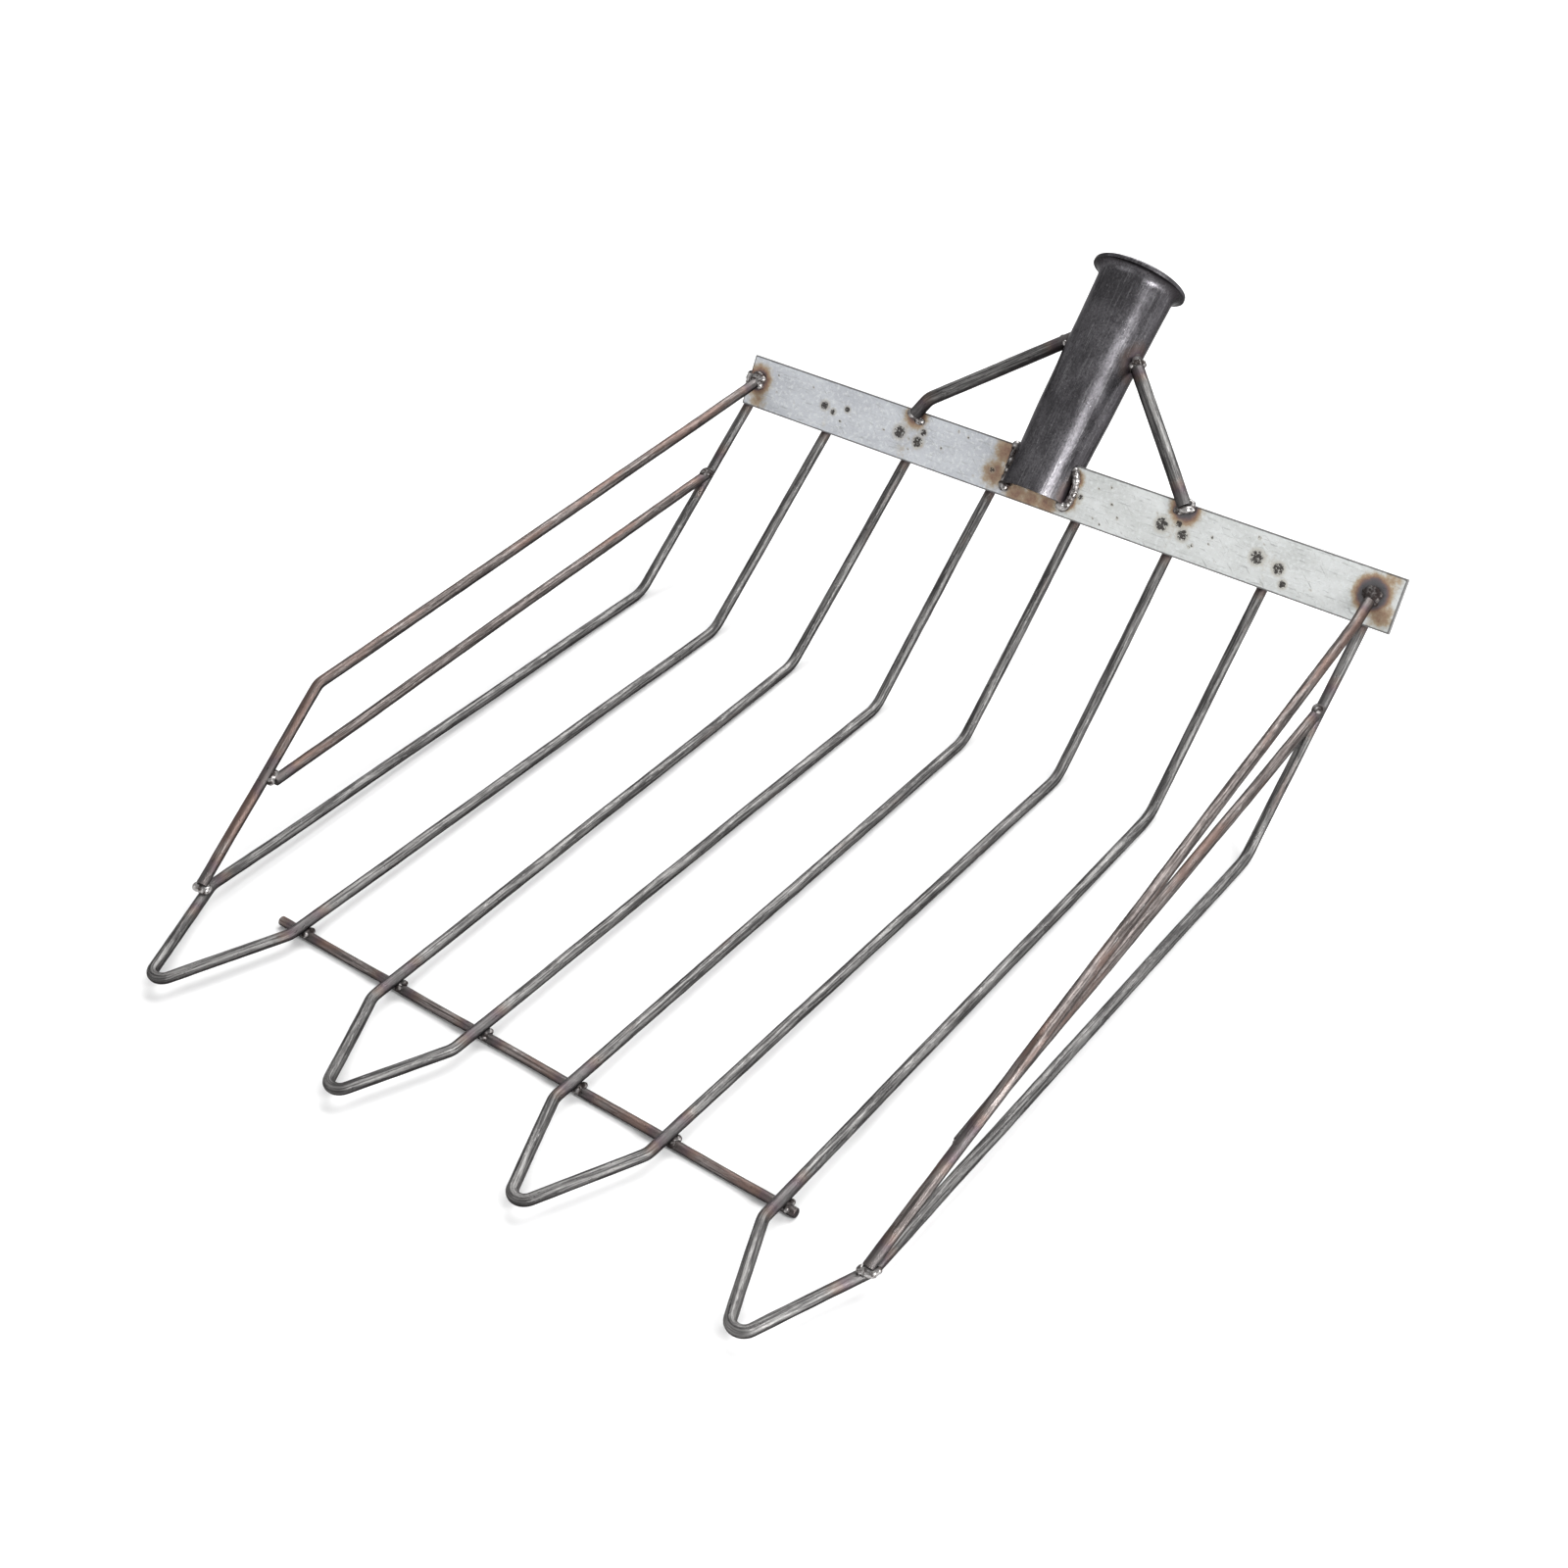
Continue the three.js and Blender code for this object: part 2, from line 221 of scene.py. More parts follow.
# Halos in the zinc, as (x, up, reach, strength)
HALOS = [
    (RAIL_START_X["left"], RAIL_SEAT, 9, 1.0),
    (RAIL_START_X["right"], RAIL_SEAT + 1, 8.5, 1.7),
    *[(x, 4, 9, 0.55) for x in (-12, -2, 8)],
    (-25, 25, 11, 0.55),
    (-29, 11, 10, 0.55),
    (-198, 5, 8, 0.42),
    (211, 8, 9, 0.5),
    (210, 26, 8, 0.42),
    (-82, 12, 7, 0.26),
    (-92, 6, 7, 0.26),
    *[(x, 14, 8, 0.22) for x in (86, 144)],
]

# Weld drops as (place, radii). A cross weld's places are shifts from its centre.
CROSS_DROPS = [((x, y, -0.4), (2.0, 2.0, 1.7)) for x, y in ((-3, -2.2), (3, -2.2), (-3, 2.2), (3, 2.2))]
CROSS_DROPS += [((0, 0, 0), (3.2, 2.6, 1.6))]
RAIL_SOOT = {"left": 0.25, "right": 0.7}


# ---------------------------------------------------------------- places
def head_matrix():
    """From the head's frame in millimetres to the row frame in metres, set by where the cross rod lies."""
    low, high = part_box("cross_rod")
    seat = (Vector(low) + Vector(high)) / 2
    rod_middle = Vector((sum(CROSS_ENDS) / 2, CROSS_Y, CROSS_Z))
    turn = Matrix.Rotation(-math.atan2(2 * CROSS_R + GAP, -CROSS_Y), 4, "X")
    return Matrix.Translation(seat) @ turn @ Matrix.Scale(MM, 4) @ Matrix.Translation(-rod_middle)


HEAD = head_matrix()


def on_plate(x, up, out):
    """A point given across the plate, up its front face and out from that face."""
    y = PLATE_EDGE[0] + up * math.cos(PLATE_TILT) - out * math.sin(PLATE_TILT)
    z = PLATE_EDGE[1] + up * math.sin(PLATE_TILT) + out * math.cos(PLATE_TILT)
    return Vector((x, y, z))


def on_socket(height, side=0.0, front=0.0):
    """A point given along the socket's axis, across it, and out towards its upper front side."""
    cos, sin = math.cos(SOCKET_TILT), math.sin(SOCKET_TILT)
    y = SOCKET_FOOT[0] + height * cos - front * sin
    z = SOCKET_FOOT[1] + height * sin + front * cos
    return Vector((side, y, z))


def mirrored(point, sign):
    return Vector((sign * point[0], point[1], point[2]))


# ---------------------------------------------------------------- camera, light and floor
def make_camera():
    cos_e, sin_e = math.cos(CAMERA_ELEVATION), math.sin(CAMERA_ELEVATION)
    cos_a, sin_a = math.cos(CAMERA_AZIMUTH), math.sin(CAMERA_AZIMUTH)
    back = Vector((sin_a * cos_e, -cos_a * cos_e, sin_e))
    right = Vector((cos_a, sin_a, 0))
    up = back.cross(right)
    turn = Matrix((right, up, back)).transposed() @ Matrix.Rotation(CAMERA_ROLL, 3, "Z")
    data = bpy.data.cameras.new("camera")
    data.sensor_width = 36
    data.lens = CAMERA_LENS
    camera = bpy.data.objects.new("camera", data)
    bpy.context.scene.collection.objects.link(camera)
    turned = HEAD.to_3x3().normalized() @ turn
    camera.matrix_world = Matrix.Translation(HEAD @ Vector(CAMERA_PLACE)) @ turned.to_4x4()
    bpy.context.scene.camera = camera


def add_area_light(name, place, aim, size, power):
    data = bpy.data.lights.new(name, "AREA")
    data.shape = "RECTANGLE"
    data.size, data.size_y = size
    data.energy = power
    light = bpy.data.objects.new(name, data)
    light.location = place
    light.rotation_euler = (Vector(aim) - Vector(place)).to_track_quat("-Z", "Y").to_euler()
    bpy.context.scene.collection.objects.link(light)


def make_light():
    world = bpy.data.worlds.new("studio")
    world.use_nodes = True
    background = world.node_tree.nodes["Background"]
    background.inputs["Color"].default_value = (1, 1, 1, 1)
    background.inputs["Strength"].default_value = WORLD_STRENGTH
    bpy.context.scene.world = world
    bpy.context.scene.view_settings.view_transform = "Standard"
    for values in LIGHTS:
        add_area_light(*values)


def make_floor():
    mesh = bpy.data.meshes.new("floor")
    half = FLOOR_HALF
    corners = [(-half, -half, 0), (half, -half, 0), (half, half, 0), (-half, half, 0)]
    mesh.from_pydata(corners, [], [(0, 1, 2, 3)])
    floor = bpy.data.objects.new("floor", mesh)
    bpy.context.scene.collection.objects.link(floor)
    shades = Shades("floor_paper")
    grain = shades.noise(shades.coordinates(), 60, 3)
    shades.finish(colour=shades.ramp(grain, PAPER), roughness=0.9, metallic=0.0, specular=0.1)
    mesh.materials.append(shades.material)


# ---------------------------------------------------------------- materials
class Shades:
    """A node material built up from small steps, ending in one Principled shader."""

    def __init__(self, name):
        self.material = bpy.data.materials.new(name)
        self.material.use_nodes = True
        self.tree = self.material.node_tree
        self.shader = self.tree.nodes["Principled BSDF"]

    def node(self, kind, **values):
        made = self.tree.nodes.new(kind)
        for key, value in values.items():
            setattr(made, key, value)
        return made

    def link(self, source, socket):
        if isinstance(source, (int, float)):
            socket.default_value = source
        elif isinstance(source, tuple):
            socket.default_value = (*source, 1.0)
        else:
            self.tree.links.new(source, socket)

    def attribute(self, name, output="Vector"):
        return self.node("ShaderNodeAttribute", attribute_name=name).outputs[output]

    def coordinates(self):
        return self.node("ShaderNodeTexCoord").outputs["Object"]

    def scaled(self, vector, scale):
        made = self.node("ShaderNodeMapping")
        self.link(vector, made.inputs["Vector"])
        made.inputs["Scale"].default_value = scale
        return made.outputs["Vector"]

    def noise(self, vector, scale, detail=4, rough=0.55, warp=0.0):
        made = self.node("ShaderNodeTexNoise")
        self.link(vector, made.inputs["Vector"])
        made.inputs["Scale"].default_value = scale
        made.inputs["Detail"].default_value = detail
        made.inputs["Roughness"].default_value = rough
        made.inputs["Distortion"].default_value = warp
        return made.outputs["Fac"]

    def maths(self, operation, first, second=0.0):
        made = self.node("ShaderNodeMath", operation=operation)
        self.link(first, made.inputs[0])
        self.link(second, made.inputs[1])
        return made.outputs[0]

    def span(self, value, low, high, to_low=0.0, to_high=1.0):
        made = self.node("ShaderNodeMapRange", clamp=True, interpolation_type="SMOOTHSTEP")
        self.link(value, made.inputs["Value"])
        made.inputs["From Min"].default_value = low
        made.inputs["From Max"].default_value = high
        made.inputs["To Min"].default_value = to_low
        made.inputs["To Max"].default_value = to_high
        return made.outputs["Result"]

    def ramp(self, value, stops):
        made = self.node("ShaderNodeValToRGB")
        self.link(value, made.inputs["Fac"])
        points = made.color_ramp.elements
        while len(points) < len(stops):
            points.new(0.5)
        for point, (place, colour) in zip(points, stops):
            point.position = place
            point.color = (*colour, 1.0)
        return made.outputs["Color"]

    def mix(self, amount, first, second, blend="MIX"):
        made = self.node("ShaderNodeMix", data_type="RGBA", blend_type=blend)
        self.link(amount, made.inputs["Factor"])
        self.link(first, made.inputs["A"])
        self.link(second, made.inputs["B"])
        return made.outputs["Result"]

    def facing_up(self):
        parts = self.node("ShaderNodeSeparateXYZ")
        self.link(self.node("ShaderNodeTexCoord").outputs["Normal"], parts.inputs["Vector"])
        return parts.outputs["Z"]

    def bump(self, height, strength, distance):
        made = self.node("ShaderNodeBump")
        made.inputs["Strength"].default_value = strength
        made.inputs["Distance"].default_value = distance
        self.link(height, made.inputs["Height"])
        return made.outputs["Normal"]

    def finish(self, colour, roughness, metallic, specular=0.5, edge=1.0, normal=None):
        """The shader's own values. Edge tones down the pale rim that metal shows at a slant."""
        inputs = self.shader.inputs
        self.link(colour, inputs["Base Color"])
        self.link(roughness, inputs["Roughness"])
        self.link(metallic, inputs["Metallic"])
        inputs["Specular IOR Level"].default_value = specular
        inputs["Specular Tint"].default_value = (edge, edge, edge, 1.0)
        if normal is not None:
            self.link(normal, inputs["Normal"])


def ragged_scorch(shades, rag, amount):
    """The mesh's own scorch, with an uneven edge."""
    uneven = shades.maths("MULTIPLY", shades.maths("SUBTRACT", rag, 0.5), amount)
    return shades.maths("ADD", shades.attribute("scorch", "Fac"), uneven)


def heat_tinted(shades, base, vector):
    """Steel's heat colours round a weld: straw, brown, violet, then burnt grey at the bead."""
    ragged = ragged_scorch(shades, shades.noise(vector, 0.35, 3), 0.28)
    tint = shades.ramp(ragged, BAR_TINT)
    return shades.mix(shades.span(ragged, 0.15, 0.6, 0.0, 0.75), base, tint)


def bar_material(name, dark, pale, rust, rust_share):
    """Hot-rolled bar: mill scale with paler rubbed streaks along it and patches of brown tint, with painted
    shade on the faces that point down.
    """
    shades = Shades(name)
    straight = shades.attribute("straight")
    streaks = shades.noise(shades.scaled(straight, (1.1, 1.1, 0.035)), 1.0, 5, 0.6)
    mottle = shades.noise(shades.scaled(straight, (0.6, 0.6, 0.22)), 1.0, 5, 0.65)
    patches = shades.noise(shades.scaled(straight, (0.12, 0.12, 0.018)), 1.0, 3)
    grain = shades.noise(shades.scaled(straight, (3.5, 3.5, 1.6)), 1.0, 3, 0.6)
    colour = shades.mix(shades.span(streaks, 0.40, 0.62), dark, pale)
    colour = shades.mix(shades.span(mottle, 0.5, 0.72, 0.0, 0.6), colour, dark)
    rubbed = shades.noise(shades.scaled(straight, (1.6, 1.6, 0.12)), 1.0, 4, 0.7)
    colour = shades.mix(shades.span(rubbed, 0.60, 0.70, 0.0, 0.7), colour, RUBBED_STEEL)
    browned = shades.span(patches, 0.62 - rust_share, 0.78 - rust_share, 0.0, 0.85)
    colour = shades.mix(browned, colour, rust)
    colour = heat_tinted(shades, colour, straight)
    # Painted shade: faces that point down are darkened towards near-black, broken up a little by the
    # mottle.
    painted_light_share = shades.span(shades.maths("ADD", shades.facing_up(), mottle), 0.12, 1.25, 0.05, 1.0)
    colour = shades.mix(painted_light_share, BAR_PAINTED_SHADE, colour)
    rough = shades.span(mottle, 0.3, 0.75, 0.26, 0.5)
    height = shades.maths("ADD", shades.maths("MULTIPLY", grain, 0.8), mottle)
    shades.finish(colour, rough, 0.85, edge=0.35, normal=shades.bump(height, 0.5, 0.0005))
    return shades.material


def socket_material():
    """Charcoal tube, scratched along its length, with painted shade on the faces that point down."""
    shades = Shades("socket_scale")
    straight = shades.attribute("straight")
    scratches = shades.noise(shades.scaled(straight, (0.9, 0.9, 0.02)), 1.0, 6, 0.7)
    fine = shades.noise(shades.scaled(straight, (3.0, 3.0, 0.06)), 1.0, 4, 0.7)
    cloud = shades.noise(shades.scaled(straight, (0.07, 0.07, 0.05)), 1.0, 4, 0.6)
    specks = shades.noise(shades.scaled(straight, (1.0, 1.0, 0.7)), 1.0, 4, 0.75)
    colour = shades.mix(shades.span(cloud, 0.35, 0.7), TUBE_DARK, TUBE_PALE)
    colour = shades.mix(shades.span(scratches, 0.53, 0.66, 0.0, 0.8), colour, TUBE_SCRATCH)
    colour = shades.mix(shades.span(fine, 0.58, 0.70, 0.0, 0.6), colour, TUBE_FINE_SCRATCH)
    colour = shades.mix(shades.span(specks, 0.40, 0.50, 0.6, 0.0), colour, TUBE_PIT)
    colour = shades.mix(shades.span(specks, 0.60, 0.68, 0.0, 0.6), colour, TUBE_SPECK)
    colour = heat_tinted(shades, colour, straight)
    # Painted shade: faces that point down are darkened towards near-black.
    painted_light_share = shades.span(shades.facing_up(), -0.5, 0.55, 0.12, 1.0)
    colour = shades.mix(painted_light_share, TUBE_PAINTED_SHADE, colour)
    rough = shades.span(cloud, 0.3, 0.7, 0.24, 0.36)
    height = shades.maths("ADD", scratches, cloud)
    shades.finish(colour, rough, 0.85, edge=0.3, normal=shades.bump(height, 0.25, 0.0004))
    return shades.material


def plate_material():
    """Zinc-coated flat bar: soft mottling, scratches, heat halos and burnt marks."""
    shades = Shades("zinc_plate")
    straight = shades.attribute("straight")
    cloud = shades.noise(shades.scaled(straight, (0.03, 0.06, 0.06)), 1.0, 4, 0.6)
    spangle = shades.noise(straight, 0.45, 4, 0.6)
    scratch = shades.noise(shades.scaled(straight, (0.09, 0.8, 0.8)), 1.0, 5, 0.75, 0.5)
    slant = shades.node("ShaderNodeVectorRotate", rotation_type="Z_AXIS")
    shades.link(straight, slant.inputs["Vector"])
    slant.inputs["Angle"].default_value = 0.7
    slanted = shades.noise(shades.scaled(slant.outputs["Vector"], (0.08, 0.9, 0.9)), 1.0, 5, 0.75)
    sides = shades.node("ShaderNodeSeparateXYZ")
    shades.link(straight, sides.inputs["Vector"])
    left_zinc = shades.mix(shades.span(cloud, 0.3, 0.7), *ZINC_LEFT)
    right_zinc = shades.mix(shades.span(cloud, 0.3, 0.7), *ZINC_RIGHT)
    colour = shades.mix(shades.span(sides.outputs["X"], -20, 30), left_zinc, right_zinc)
    colour = shades.mix(shades.span(spangle, 0.48, 0.66, 0.0, 0.6), colour, ZINC_SPANGLE)
    grime = shades.noise(shades.scaled(straight, (0.5, 0.8, 0.8)), 1.0, 6, 0.75)
    colour = shades.mix(shades.span(grime, 0.56, 0.72, 0.0, 0.55), colour, ZINC_GRIME)
    colour = shades.mix(shades.span(scratch, 0.56, 0.64, 0.0, 0.5), colour, ZINC_SCRATCH)
    colour = shades.mix(shades.span(slanted, 0.60, 0.66, 0.0, 0.6), colour, ZINC_CROSS_SCRATCH)
    rag = shades.noise(straight, 0.3, 5, 0.7)
    ragged = ragged_scorch(shades, rag, 0.55)
    tint = shades.ramp(ragged, ZINC_TINT)
    colour = shades.mix(shades.span(ragged, 0.14, 0.42, 0.0, 0.92), colour, tint)
    rim = shades.maths("ADD", shades.attribute("rim", "Fac"), shades.maths("MULTIPLY", rag, 0.5))
    colour = shades.mix(shades.span(rim, 0.55, 0.95, 0.0, 0.85), colour, ZINC_RIM)
    burn = shades.attribute("burn", "Fac")
    flecks = shades.noise(straight, 0.6, 4, 0.75)
    torn = shades.maths("MULTIPLY", burn, shades.span(flecks, 0.36, 0.54, 0.25, 1.0))
    colour = shades.mix(shades.span(burn, 0.03, 0.3, 0.0, 0.45), colour, BURN_HALO)
    colour = shades.mix(shades.span(torn, 0.28, 0.5, 0.0, 0.95), colour, BURN_CORE)
    rough = shades.span(spangle, 0.3, 0.7, 0.36, 0.5)
    relief = shades.maths("ADD", spangle, shades.maths("MULTIPLY", grime, 1.5))
    shades.finish(colour, rough, 0.55, edge=0.8, normal=shades.bump(relief, 0.4, 0.0005))
    return shades.material


def weld_material():
    """Weld metal: bright, with patches of dark oxide, and sooty where the mesh says so."""
    shades = Shades("weld_bead")
    place = shades.coordinates()
    oxide = shades.noise(place, 330, 4, 0.6)
    fine = shades.noise(place, 1400, 3, 0.6)
    colour = shades.mix(shades.span(oxide, 0.42, 0.6), BEAD_BRIGHT, BEAD_OXIDE)
    colour = shades.mix(shades.span(fine, 0.55, 0.7, 0.0, 0.5), colour, BEAD_GLINT)
    sooty = shades.maths("ADD", shades.attribute("soot", "Fac"), shades.maths("SUBTRACT", oxide, 0.5))
    colour = shades.mix(shades.span(sooty, 0.35, 0.75, 0.0, 0.94), colour, BEAD_SOOT)
    rough = shades.span(oxide, 0.4, 0.65, 0.24, 0.5)
    rough = shades.maths("ADD", rough, shades.span(sooty, 0.35, 0.75, 0.0, 0.3))
    shades.finish(colour, rough, 0.85, edge=0.4, normal=shades.bump(fine, 0.4, 0.0003))
    return shades.material


# ---------------------------------------------------------------- meshes
def add_piece(name, mesh, material, node):
    """A finished piece takes the place of its CAD node."""
    for face in mesh.polygons:
        face.use_smooth = True
    mesh.set_sharp_from_angle(angle=math.radians(40))
    mesh.materials.clear()
    mesh.materials.append(material)
    piece = bpy.data.objects.new(name, mesh)
    bpy.context.scene.collection.objects.link(piece)
    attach(piece, "root")
    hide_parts(node)


def set_vectors(mesh, name, values):
    layer = mesh.attributes.new(name, "FLOAT_VECTOR", "POINT")
    layer.data.foreach_set("vector", np.asarray(values, dtype=np.float32).ravel())


def set_floats(mesh, name, values):
    layer = mesh.attributes.new(name, "FLOAT", "POINT")
    layer.data.foreach_set("value", np.asarray(values, dtype=np.float32))


def scorch_at(points, welds):
    """How scorched each point is: 1 at a weld, falling off over the reach that goes with it."""
    scorch = np.zeros(len(points))
    for centre, reach in welds:
        away = np.linalg.norm(points - np.array(centre), axis=1)
        scorch = np.maximum(scorch, np.exp(-((away / reach) ** 2)))
    return scorch


def bar_line(corners, bends=()):
    """Points and headings along a bent bar: straight runs with each corner rounded to its radius."""
    corners = [Vector(corner) for corner in corners]
    headings = [(b - a).normalized() for a, b in zip(corners, corners[1:])]
    places, tangents = [corners[0]], [headings[0]]

    def run_to(end, heading):
        start = places[-1]
        count = max(1, round((end - start).length / RUN_STEP))
        for k in range(1, count + 1):
            places.append(start.lerp(end, k / count))
            tangents.append(heading)

    for corner, before, after, radius in zip(corners[1:-1], headings, headings[1:], bends):
        turn = before.angle(after)
        axis = before.cross(after).normalized()
        inward = (after - before).normalized()
        centre = corner + inward * (radius / math.cos(turn / 2))
        run_to(corner - before * (radius * math.tan(turn / 2)), before)
        spoke = places[-1] - centre
        count = max(3, round(turn * radius / ARC_STEP))
        for k in range(1, count + 1):
            twist = Matrix.Rotation(turn * k / count, 3, axis)
            places.append(centre + twist @ spoke)
            tangents.append(twist @ before)
    run_to(corners[-1], headings[-1])
    return np.array(places), np.array(tangents)


def carried_frames(tangents):
    """Two cross directions at each station, carried along without twist."""
    side = Vector(tangents[0]).orthogonal().normalized()
    sides = []
    for before, tangent in zip([tangents[0], *tangents], tangents):
        side = Vector(before).rotation_difference(Vector(tangent)) @ side
        sides.append(side)
    sides = np.array(sides)
    return sides, np.cross(tangents, sides)


def wobble(places, seed):
    """The places moved by a faint slow wave, because hand-bent bar is never quite straight."""
    offset = Vector((7.3 * seed, 0, 0))
    waves = [noise.noise_vector(Vector(place) / BAR_WAVE_LENGTH + offset) for place in places]
    return np.array([Vector(place) + BAR_WAVE * wave for place, wave in zip(places, waves)])


def tube_faces(rows, sides):
    """Faces between rows of vertices that each go once round, with both ends closed."""
    faces = []
    for i in range(rows - 1):
        for k in range(sides):
            a, b = i * sides + k, i * sides + (k + 1) % sides
            faces.append((a, b, b + sides, a + sides))
    faces.append(tuple(reversed(range(sides))))
    faces.append(tuple(range((rows - 1) * sides, rows * sides)))
    return faces


def bar_mesh(name, line, radius, welds, seed):
    """A round bar with sawn ends, faint dents and the attributes that its material reads."""
    places, tangents = line
    places = wobble(places, seed)
    length = np.concatenate([[0], np.cumsum(np.linalg.norm(np.diff(places, axis=0), axis=1))])
    across, over = carried_frames(tangents)
    turns = np.arange(BAR_SIDES) * 2 * math.pi / BAR_SIDES
    last = len(places) - 1
    # Each ring's station, its radius, and its shift along the bar
    rings = [(0, radius - BAR_CHAMFER, 0.0), (0, radius, BAR_CHAMFER)]
    rings += [(i, radius, 0.0) for i in range(1, last)]
    rings += [(last, radius, -BAR_CHAMFER), (last, radius - BAR_CHAMFER, 0.0)]
    points, straight = [], []
    for i, ring_radius, shift in rings:
        centre = places[i] + tangents[i] * shift
        along = length[i] + shift
        for turn in turns:
            out = across[i] * math.cos(turn) + over[i] * math.sin(turn)
            spot = Vector((3 * math.cos(turn), 3 * math.sin(turn), along / BAR_DENT_LENGTH + 31 * seed))
            points.append(centre + out * (ring_radius + BAR_DENT * noise.noise(spot)))
            # A different stretch of the material's pattern for each bar
            straight.append((radius * math.cos(turn), radius * math.sin(turn), along + 977 * seed))
    mesh = bpy.data.meshes.new(name)
    mesh.from_pydata([HEAD @ Vector(p) for p in points], [], tube_faces(len(rings), BAR_SIDES))
    set_vectors(mesh, "straight", straight)
    set_floats(mesh, "scorch", scorch_at(np.array(points), welds))
    return mesh


def cut_mesh(mesh, cutters):
    """The mesh with the closed cutter meshes taken out of it, and the cutters removed."""
    body = bpy.data.objects.new(mesh.name, mesh)
    bpy.context.scene.collection.objects.link(body)
    tools = []
    for cutter in cutters:
        tool = bpy.data.objects.new("cutter", cutter)
        bpy.context.scene.collection.objects.link(tool)
        modifier = body.modifiers.new("cut", "BOOLEAN")
        modifier.operation = "DIFFERENCE"
        modifier.solver = "EXACT"
        modifier.object = tool
        tools.append(tool)
    graph = bpy.context.evaluated_depsgraph_get()
    result = bpy.data.meshes.new_from_object(body.evaluated_get(graph))
    for item in [body, *tools]:
        data = item.data
        bpy.data.objects.remove(item)
        bpy.data.meshes.remove(data)
    return result


# ---------------------------------------------------------------- beads
def bead_mesh(name, drops, seed, soot):
    """A lumpy bead: overlapping drops of metal, melted together and roughened."""
    rng = random.Random(seed)
    form = bmesh.new()
    for place, radii in drops:
        jitter = Vector(rng.uniform(-BEAD_JITTER, BEAD_JITTER) for _ in range(3))
        size = [r * rng.uniform(1 - BEAD_SWELL, 1 + BEAD_SWELL) for r in radii]
        where = Matrix.Translation(Vector(place) + jitter) @ Matrix.Diagonal((*size, 1))
        bmesh.ops.create_icosphere(form, subdivisions=3, radius=1, matrix=where)
    mesh = bpy.data.meshes.new(name)
    form.to_mesh(mesh)
    form.free()
    body = bpy.data.objects.new(name, mesh)
    bpy.context.scene.collection.objects.link(body)
    remesh = body.modifiers.new("melt", "REMESH")
    remesh.mode = "VOXEL"
    remesh.voxel_size = BEAD_VOXEL
    smooth = body.modifiers.new("settle", "SMOOTH")
    smooth.factor = 0.5
    smooth.iterations = BEAD_SETTLING
    graph = bpy.context.evaluated_depsgraph_get()
    melted = bpy.data.meshes.new_from_object(body.evaluated_get(graph))
    bpy.data.objects.remove(body)
    bpy.data.meshes.remove(mesh)
    for vertex in melted.vertices:
        rough = noise.noise(vertex.co * 0.9 + Vector((seed, 0, 0)))
        vertex.co += vertex.normal * BEAD_GRAIN * rough
    set_floats(melted, "soot", [soot] * len(melted.vertices))
    melted.transform(HEAD)
    return melted


def ring_of_drops(centre, first, second, radius, count, size):
    """Drops spaced round a circle that lies in the two given directions."""
    drops = []
    for k in range(count):
        turn = 2 * math.pi * k / count
        place = centre + first * (radius * math.cos(turn)) + second * (radius * math.sin(turn))
        drops.append((place, (size, size, size)))
    return drops


def row_of_drops(start, end, count, size):
    return [(start.lerp(end, k / (count - 1)), (size, size, size)) for k in range(count)]


def heap(centre, drops):
    """Drops whose places are given as shifts from a centre."""
    return [(centre + Vector(shift), radii) for shift, radii in drops]


def heap_on_plate(drops):
    """Drops whose places are given across the plate, up it and out from it."""
    return [(on_plate(*place), radii) for place, radii in drops]


ACROSS = Vector((1, 0, 0))
OUT_PLATE = Vector((0, -math.sin(PLATE_TILT), math.cos(PLATE_TILT)))


# ---------------------------------------------------------------- the pieces' own lines
TINE_OUT = -(PLATE_THICKNESS + GAP + ROD_R)


def tine_points(i):
    end = on_plate(TINE_PLATE_X[i], WELDED_LENGTH, TINE_OUT)
    bend = on_plate(TINE_PLATE_X[i], 0, TINE_OUT)
    heel = Vector((TINE_HEEL_X[i], TINE_HEEL_Y[i], 0))
    front = Vector((TINE_FRONT_X[i], TINE_FRONT_Y[i], 0))
    return [end, bend, heel, front]


def cross_point(i):
    """Where tine i lies over the cross rod."""
    _, _, heel, front = tine_points(i)
    point = heel.lerp(front, (CROSS_Y - heel.y) / (front.y - heel.y))
    return Vector((point.x, point.y, -ROD_R - GAP / 2))


def mid_start(side):
    _, bend, heel, _ = tine_points(OUTER_TINE[side])
    return heel.lerp(bend, MID_SEAT)


def brace_foot(side):
    return on_plate(SIDES[side] * BRACE_FOOT_X, BRACE_FOOT_UP, BRACE_FOOT_OUT)


def brace_top(side):
    """Where the brace's centreline meets the socket's side."""
    foot = brace_foot(side)
    return foot.lerp(on_socket(BRACE_REACH), 1 - SOCKET_MOUTH_R / BRACE_FOOT_X)


def hot_spots():
    """Every weld's centre in the head's frame, with how far its heat reached."""
    spots = [(on_plate(x, WELDED_LENGTH - 4, TINE_OUT), 16) for x in TINE_PLATE_X]
    spots += [(cross_point(i), 15) for i in range(1, 7)]
    for side in SIDES:
        spots.append((on_plate(RAIL_START_X[side], RAIL_SEAT, 2), 15))
        spots.append((Vector(LEG_FOOT[side]), 17))
        spots.append((mid_start(side), 16))
        spots.append((Vector(MID_END[side]), 16))
        spots.append((brace_foot(side), 15))
        spots.append((brace_top(side), 12))
        spots.append((on_plate(SIDES[side] * SOCKET_FOOT_R, 12, 0), 10))
    return spots


